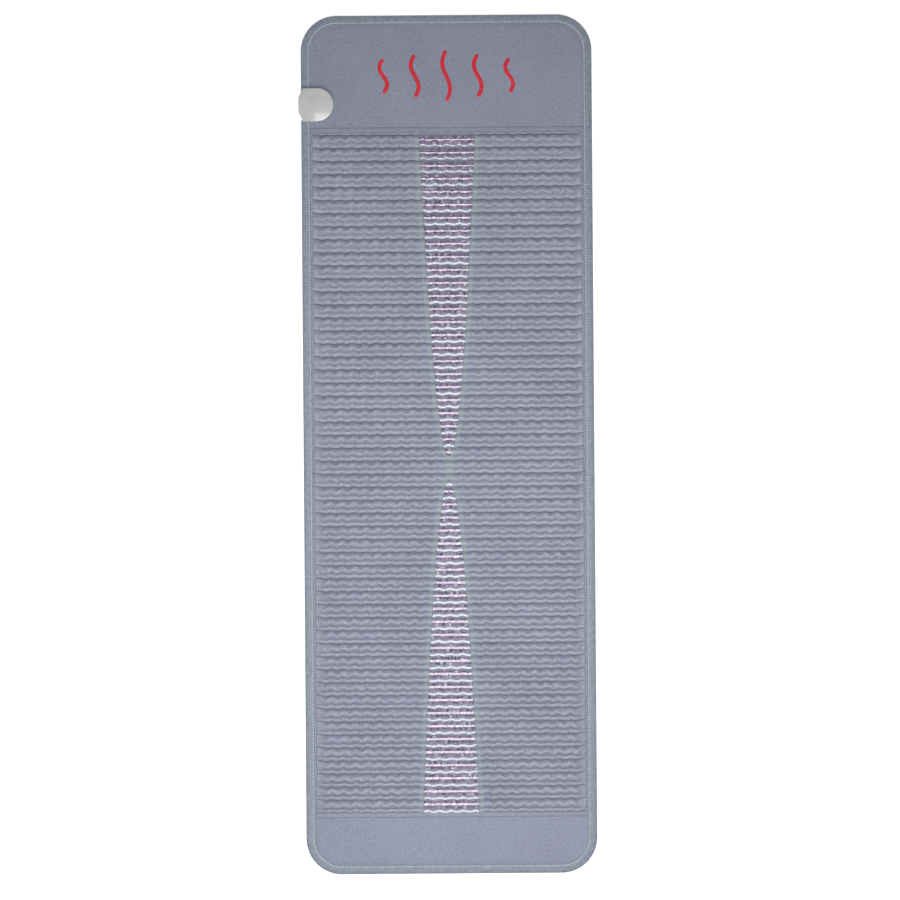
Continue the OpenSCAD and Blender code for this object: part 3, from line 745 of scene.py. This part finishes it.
def scatterStones(name, rows, body):
    chance = random.Random(name)
    places, tones = [], []
    for i in rows:
        for across, z, radius in stones["lanes"]:
            station = at["rowsTop"] - pitch * i - across
            half = float(windowAt(station)) - 2.5
            x = -half + chance.uniform(0, 4)
            while x < half:
                size = radius * chance.uniform(0.78, 1.05)
                turn = Matrix.Rotation(chance.uniform(0, 6.28), 4, "Z") @ \
                    Matrix.Rotation(chance.uniform(0, 6.28), 4, "X")
                spread = Matrix.Diagonal((size * chance.uniform(0.95, 1.35), size * chance.uniform(0.8, 1.0),
                                          size * chance.uniform(0.7, 1.0), 1))
                where = Vector((x, station + chance.uniform(-0.8, 0.8), z + chance.uniform(-0.5, 0.4)))
                places.append(Matrix.Translation(where) @ turn @ spread)
                tones.append(min(max(chance.gauss(*stones["tone"]), 0), 0.85))
                x += size * chance.uniform(1.75, 2.2)
    made = repeated(name, places, tones, stones["roughness"])
    return finish(made, stone, body=body)


stones = {
    # How far each lane lies down the row, its height and the radius of its stones
    "lanes": [(5.3, 12.6, 3.6), (10.4, 15.0, 3.5), (15.4, 12.6, 3.5), (10.4, 11.9, 3.4)],
    "tone": (0.36, 0.22),  # mean and spread
    "roughness": 0.13,
}
half = mat["rows"] // 2
stonesUpper = scatterStones("amethystUpper", range(0, half - 1), "upper_half")
stonesLower = scatterStones("amethystLower", range(half + 1, mat["rows"]), "lower_half")
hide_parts("upper_amethyst_chips")
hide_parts("lower_amethyst_chips")
print("stones ready")

films = [
    filmPiece("windowFilmHead", at["quiltTop"], zoneCuts[0], "head"),
    filmPiece("windowFilmWaistUpper", zoneCuts[0], upperTip - 0.01, "waist"),
    filmPiece("windowFilmWaistLower", lowerTip + 0.01, zoneCuts[1], "waist"),
    filmPiece("windowFilmFoot", zoneCuts[1], at["quiltBottom"], "foot"),
]
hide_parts("upper_window_film")
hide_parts("lower_window_film")


def tapePiece(zone, side, word):
    def place(u, v):
        rowTurn = rowTurns(v, zone, quilting["cells"])
        station = stationOf(rowTurn)
        inner = np.maximum(windowAt(station) - window["tapeInset"], 0)
        x = (inner + (window["tapeWidth"] + window["tapeSpread"]) * u) * side
        offset = clothPoint(x, rowTurn, plain=True)
        cover = np.maximum(offset[:, 2], filmPoint(x, rowTurn)[1])
        outer = smooth(1, 1 - window["tapeRim"], u)
        edge = np.where(inner <= 0, 1, smooth(0, window["tapeRim"], u)) * outer
        z = cover + window["tapeLift"] + window["tapeSwell"] * edge
        return {"x": x, "y": station + offset[:, 1] * 0.8, "z": z, "flat": (window["tapeWidth"] * u, station),
                "marks": {"rowTurn": rowTurn}}

    ending = zone.capitalize() + word
    made = gridPiece("windowTape" + ending, window["tapeColumns"], lineCount(zone, quilting["cells"]), place)
    finish(made, windowEdgeTape, zone=zone)
    return made


for zone in zoneRows:
    for side, word in ((-1, "Left"), (1, "Right")):
        tape = tapePiece(zone, side, word)
        if zone in halfOf:
            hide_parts(halfOf[zone] + "window_tape")
print("windows ready")

panel = {
    "cell": 3.2,
    "swell": 0.5,
    "tuck": 9,  # how far the cover's edge lies inside the binding's
    "lift": 0.12,
    "top": 9.0,
    "riseSpan": (19, 27),  # distances from the edge over which the cover rises
    "lap": 1,  # how far the cover runs under the seam tape
    "backCell": 6,
    "backTuck": 5,
    "backSpan": (15, 22),
    "backLift": (0.2, 0.6),
}
padTop = boxOf("head_padding")[1][2]
panelWave = noiseField(21, 70)
panelCrinkle = noiseField(22, 18)

lowCorner, highCorner = boxOf("connector_upper_shell")


def insideHousing(x, y, grow):
    # Whether a place lies under the connector housing, a block with a half round end
    middle = (lowCorner[1] + highCorner[1]) / 2
    radius = (highCorner[1] - lowCorner[1]) / 2
    centre = highCorner[0] - radius
    roundEnd = np.hypot(x - centre, y - middle) < radius + grow
    block = (x < centre) & (np.abs(y - middle) < radius + grow)
    return roundEnd | block


def panelPiece(name, low, high, zone):
    def place(u, v):
        y = low + (high - low) * v
        x = (2 * u - 1) * halfAt(y, panel["tuck"])
        rise = smooth(*panel["riseSpan"], edgeDistance(x, y))
        swell = panel["swell"] * (panelWave(x, y) + 0.25 * panelCrinkle(x, y))
        z = padTop + panel["lift"] + rise * (panel["top"] - padTop + swell)
        return {"x": x, "y": y, "z": z, "flat": (x, y), "keep": ~insideHousing(x, y, -6)}

    made = gridPiece(name, int(2 * at["halfWidth"] / panel["cell"]), int((high - low) / panel["cell"]), place)
    finish(made, panelCloth, zone=zone)
    return made


headCover = panelPiece("headCover", at["headSeam"] - panel["lap"], at["headEnd"] - panel["tuck"], "head")
footCover = panelPiece("footCover", at["footEnd"] + panel["tuck"], at["footSeam"] + panel["lap"], "foot")
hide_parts("head_top_cover")
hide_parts("foot_top_cover")


tapeRun = {
    "cells": (260, 10),
    "past": 1.5,  # how far each end runs on under the binding
    "rim": 0.14,
    "base": 9.3,
    "swell": 1.5,
    "dip": 1.6,
    "dipSpan": (-4, 1),
}


def seamTapePiece(name, low, high, zone):
    half = at["skinEdge"] + tapeRun["past"]

    def place(u, v):
        x = (2 * u - 1) * half
        y = low + (high - low) * v
        edge = smooth(0, tapeRun["rim"], v) * smooth(1, 1 - tapeRun["rim"], v)
        dip = tapeRun["dip"] * smooth(*tapeRun["dipSpan"], np.abs(x) - at["skinEdge"])
        z = tapeRun["base"] + tapeRun["swell"] * edge + 0.25 * panelCrinkle(x * 2, y) - dip
        return {"x": x, "y": y, "z": z, "flat": (x, y)}

    made = gridPiece(name, *tapeRun["cells"], place)
    finish(made, seamTape, zone=zone)
    return made


headTape = seamTapePiece("headSeamTape", at["quiltTop"] - 0.8, at["headSeam"] + 0.6, "head")
footTape = seamTapePiece("footSeamTape", at["footSeam"] - 0.6, at["quiltBottom"] + 0.8, "foot")
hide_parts("head_seam_tape")
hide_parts("foot_seam_tape")


def backPiece(name, low, high, zone):
    def place(u, v):
        y = low + (high - low) * v
        x = (2 * u - 1) * halfAt(y, panel["backTuck"])
        base, lift = panel["backLift"]
        z = base + lift * (1 - smooth(*panel["backSpan"], edgeDistance(x, y)))
        return {"x": x, "y": y, "z": z, "flat": (x, y)}

    cell = panel["backCell"]
    made = gridPiece(name, int(2 * at["halfWidth"] / cell), int((high - low) / cell), place, up=-1)
    finish(made, leathercloth, zone=zone)
    return made


backHead = backPiece("backCoverHead", zoneCuts[0], at["headEnd"] - panel["backTuck"], "head")
backPiece("backCoverWaist", zoneCuts[1], zoneCuts[0], "waist")
backFoot = backPiece("backCoverFoot", at["footEnd"] + panel["backTuck"], zoneCuts[1], "foot")
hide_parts("head_back_cover", "upper_back_cover")
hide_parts("foot_back_cover", "lower_back_cover")
print("panels, seam tapes and back ready")

binding = {
    "step": 1.6,
    "flatWidth": 47,
    "cornerSteps": 48,
    "pucker": 0.28,
    "stray": 0.35,
    "stitchPitch": 5.7,
    "stitchSize": (1.9, 1.1, 0.8),
    "stitchHeight": 9.35,
    "stitchInset": 16.2,
}
# Insets from the mat's edge, then heights, from under the back round to the inner edge on top
bindingSection = (
    [19, 12, 4, 1.2, 0.15, -0.1, 0.15, 1.4, 3.8, 7.5, 11, 13.8, 15.2, 16.2, 17.2, 18.3, 18.9, 19.0],
    [0.1, 0.0, 0.0, 0.5, 2.4, 4.6, 6.9, 8.6, 9.4, 9.75, 9.75, 9.7, 9.4, 8.95, 9.5, 9.9, 9.8, 8.2],
)


def outlinePath(points):
    # Points are straight runs and the centres that corners turn about
    spots = [np.array(points[0], float)]
    for kind, value in points[1:]:
        if kind == "to":
            spots.append(np.array(value, float))
        else:
            centre, start, sweep = value
            for k in range(1, binding["cornerSteps"] + 1):
                angle = math.radians(start + sweep * k / binding["cornerSteps"])
                outward = np.array([math.cos(angle), math.sin(angle)])
                spots.append(np.array(centre) + mat["cornerRadius"] * outward)
    spots = np.array(spots)
    run = np.concatenate([[0], np.cumsum(np.linalg.norm(np.diff(spots, axis=0), axis=1))])
    return spots, run




def endPath(sign, cut, start):
    # Round one end of the mat: from its left side at the head, from its right side at the foot
    wide, tall = at["halfWidth"] * sign, at["headEnd"] * sign
    bend = mat["cornerRadius"] * sign
    return [
        (-wide, cut), ("to", (-wide, tall - bend)), ("turn", ((-wide + bend, tall - bend), start, -90)),
        ("to", (wide - bend, tall)), ("turn", ((wide - bend, tall - bend), start - 90, -90)),
        ("to", (wide, cut)),
    ]


wide = at["halfWidth"]
paths = {
    "Head": ("head", endPath(1, zoneCuts[0], 180)),
    "WaistLeft": ("waist", [(-wide, zoneCuts[1]), ("to", (-wide, zoneCuts[0]))]),
    "WaistRight": ("waist", [(wide, zoneCuts[0]), ("to", (wide, zoneCuts[1]))]),
    "Foot": ("foot", endPath(-1, zoneCuts[1], 0)),
}
bindingStandsFor = {
    "Head": ["head_edge_binding", "upper_edge_binding_left", "upper_edge_binding_right"],
    "Foot": ["foot_edge_binding", "lower_edge_binding_left", "lower_edge_binding_right"],
}


def along(path, distance):
    # A place on the outline and the direction that points into the mat
    spots, run = path
    x, y = np.interp(distance, run, spots[:, 0]), np.interp(distance, run, spots[:, 1])
    ahead = 0.5
    dx = np.interp(distance + ahead, run, spots[:, 0]) - np.interp(distance - ahead, run, spots[:, 0])
    dy = np.interp(distance + ahead, run, spots[:, 1]) - np.interp(distance - ahead, run, spots[:, 1])
    length = np.hypot(dx, dy)
    return x, y, dx / length, dy / length


def bindingPiece(word, zone, points):
    path = outlinePath(points)
    length = path[1][-1]
    columns = int(length / binding["step"])
    creaseA, creaseB = noiseLine(91, 3.4), noiseLine(92, 8.5)
    insets, heights = np.array(bindingSection[0], float), np.array(bindingSection[1], float)

    def place(u, v):
        distance = u * length
        px, py, tx, ty = along(path, distance)
        spot = v * (len(insets) - 1)
        inset = np.interp(spot, range(len(insets)), insets)
        z = np.interp(spot, range(len(insets)), heights)
        # The stitches pull the tape into small puckers, which fade towards the outer edge
        stretch = np.abs(py) * 1.7 + px * 0.9  # the same at both ends of neighbouring pieces
        crease = 0.6 * creaseA(stretch) + 0.6 * creaseB(stretch + 500)
        upper = smooth(5, 9, spot)
        z = z + upper * binding["pucker"] * crease * smooth(0, 12, inset)
        inset = inset + upper * binding["stray"] * creaseB(stretch + 900) * smooth(14, 19, inset)
        x, y = px + ty * inset, py - tx * inset
        keep = ~(insideHousing(x, y, -5) & (spot > 2))
        return {"x": x, "y": y, "z": z, "flat": (distance, spot * 3), "keep": keep}

    made = gridPiece("edgeBinding" + word, columns, len(insets) - 1, place)
    finish(made, edgeTape, zone=zone)
    if word in bindingStandsFor:
        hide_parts(*bindingStandsFor[word])

    count = int(length / binding["stitchPitch"])
    places = []
    for k in range(count):
        px, py, tx, ty = along(path, (k + 0.5) * length / count)
        x, y = px + ty * binding["stitchInset"], py - tx * binding["stitchInset"]
        if not insideHousing(x, y, 1):
            turn = Matrix.Rotation(math.atan2(ty, tx), 4, "Z") @ Matrix.Diagonal((*binding["stitchSize"], 1))
            places.append(Matrix.Translation((x, y, binding["stitchHeight"])) @ turn)
    stitches = repeated("bindingStitches" + word, places, [0.5] * len(places))
    stitches.data.polygons.foreach_set("use_smooth", [True] * len(stitches.data.polygons))
    finish(stitches, stitchThread, zone=zone)


for word, (zone, points) in paths.items():
    bindingPiece(word, zone, points)
print("binding ready")

emblem = {
    "spacing": 66,
    "stroke": 8.4,
    "swing": 8,
    "tallest": 108,
    "step": 18,  # how much shorter each wave is than the one before, from the middle outwards
    "crown": 1.0,
    "cells": (10, 90),
}
emblemLow, emblemHigh = boxOf("embroidered_emblem")
emblemMiddle = (emblemLow[1] + emblemHigh[1]) / 2


def emblemWave(k):
    tallness = emblem["tallest"] - emblem["step"] * abs(k)
    half = emblem["stroke"] / 2

    def place(u, v):
        t = 2 * u - 1
        turn = 2 * math.pi * v
        # Round ends: the stroke narrows to nothing over its last half width
        ends = np.clip(np.minimum(v, 1 - v) * tallness / half, 0, 1)
        width = half * np.sqrt(np.clip(1 - (1 - ends) ** 2, 0.002, 1))
        slope = emblem["swing"] * 2 * math.pi / tallness * np.cos(turn)
        size = np.sqrt(1 + slope ** 2)
        x = k * emblem["spacing"] + emblem["swing"] * np.sin(turn) + t * width / size
        y = emblemMiddle + tallness * (v - 0.5) - t * width * slope / size
        z = emblemLow[2] + 0.1 + emblem["crown"] * np.sqrt(np.clip(1 - t ** 2, 0, 1)) * width / half
        return {"x": x, "y": y, "z": z, "flat": (t * half, v * tallness)}

    made = gridPiece("emblemWave" + str(k + 3), *emblem["cells"], place)
    return finish(made, redThread, body="head_panel")


waves = [emblemWave(k) for k in range(-2, 3)]
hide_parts("embroidered_emblem")
print("emblem ready")

housing = {"slant": 10, "slantSlope": 1.4, "round": 2.4, "lowerRound": 0.4}


def slantedCopy(node, name):
    # A CAD shell with its doubled corners joined
    bm = bmesh.new()
    bm.from_mesh(nodes[node].data)
    bmesh.ops.remove_doubles(bm, verts=bm.verts, dist=2e-6)
    # The cable end's corners are cut off at a slant
    start = (lowCorner[0] + housing["slant"]) / 1000
    bmesh.ops.bisect_plane(bm, geom=bm.verts[:] + bm.edges[:] + bm.faces[:],
                           plane_co=(start, 0, 0), plane_no=(1, 0, 0), dist=1e-6)
    middle = (lowCorner[1] + highCorner[1]) / 2000
    reach = (highCorner[1] - lowCorner[1]) / 2000
    for v in bm.verts:
        if v.co.x < start:
            away = v.co.y - middle
            v.co.y = middle + away * (1 - (start - v.co.x) * housing["slantSlope"] / reach)
    bmesh.ops.dissolve_limit(bm, angle_limit=math.radians(1), verts=bm.verts, edges=bm.edges)
    bmesh.ops.recalc_face_normals(bm, faces=bm.faces)
    mesh = bpy.data.meshes.new(name)
    bm.to_mesh(mesh)
    bm.free()
    mesh.polygons.foreach_set("use_smooth", [True] * len(mesh.polygons))
    return newPiece(name, mesh)


for node, name, rounding in (("connector_upper_shell", "connectorTop", "round"),
                             ("connector_lower_shell", "connectorBottom", "lowerRound")):
    shell = slantedCopy(node, name)
    edges = shell.modifiers.new("roundedEdges", "BEVEL")
    edges.width = housing[rounding] / 1000
    edges.segments = 4
    edges.limit_method = "ANGLE"
    edges.angle_limit = math.radians(40)
    edges.harden_normals = True
    finish(shell, housingPlastic, body="head_panel")
    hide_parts(node)

# Finishes of the parts that stay as they are
soft = {"Roughness": 0.95, "Sheen Weight": 0.4}
finishes = [
    (baseCloth, ["upper_channel_base_cloth", "lower_channel_base_cloth"]),
    (simple("silicone wire jacket", "#b9b4a8", "#a9a498", 3, {"Roughness": 0.5}),
     ["upper_heating_wire", "lower_heating_wire"]),
    (simple("needled polyester fleece", "#d6d2ca", "#c4c0b7", 4, soft, 0.0006, 0.8),
     ["upper_heater_fleece", "lower_heater_fleece"]),
    (simple("woven copper nickel mesh", "#a58f7c", "#8f7a68", 1, {"Roughness": 0.35, "Metallic": 1.0}),
     ["upper_shield_mesh", "lower_shield_mesh"]),
    (simple("grey cotton felt", "#8e8b86", "#77746f", 5,
            {"Roughness": 0.95, "Sheen Weight": 0.3}, 0.0008, 0.8),
     ["upper_insulation_felt", "lower_insulation_felt"]),
    (simple("PVC lead jacket", "#2d2d30", "#242427", 4, {"Roughness": 0.42}),
     ["upper_lead_wires", "lower_return_wire", "head_lead_wires"]),
    (simple("epoxy sensor body", "#31404f", "#283643", 3, {"Roughness": 0.35}), ["temperature_sensor"]),
    (simple("moulded nylon, black", "#26272a", "#1f2023", 5, {"Roughness": 0.4}), ["controller_socket"]),
    (simple("nickel plated brass", "#cfc8b4", "#bdb59f", 2,
            {"Roughness": 0.22, "Metallic": 1.0}, 0.00005, 0.1),
     ["contact_pins"]),
    (simple("glass epoxy laminate", "#2f6b45", "#265a39", 3, {"Roughness": 0.4}),
     ["connector_circuit_board"]),
    (simple("zinc plated steel", "#b9bcc0", "#a6a9ad", 2,
            {"Roughness": 0.3, "Metallic": 1.0}, 0.00005, 0.1),
     ["housing_screws"]),
    (simple("glazed ceramic fuse body", "#e6e2d8", "#d9d5ca", 3, {"Roughness": 0.25}), ["thermal_fuse"]),
    (simple("polyester wadding", "#dcdad5", "#cbc9c3", 8, soft, 0.001, 0.8),
     ["head_padding", "foot_padding"]),
]
finished = []
for material, parts in finishes:
    for node in parts:
        nodes[node].data.materials.clear()
        nodes[node].data.materials.append(material)
    finished += parts
print("parts without a finish:", [n for n, o in nodes.items() if not o.hide_render and n not in finished])
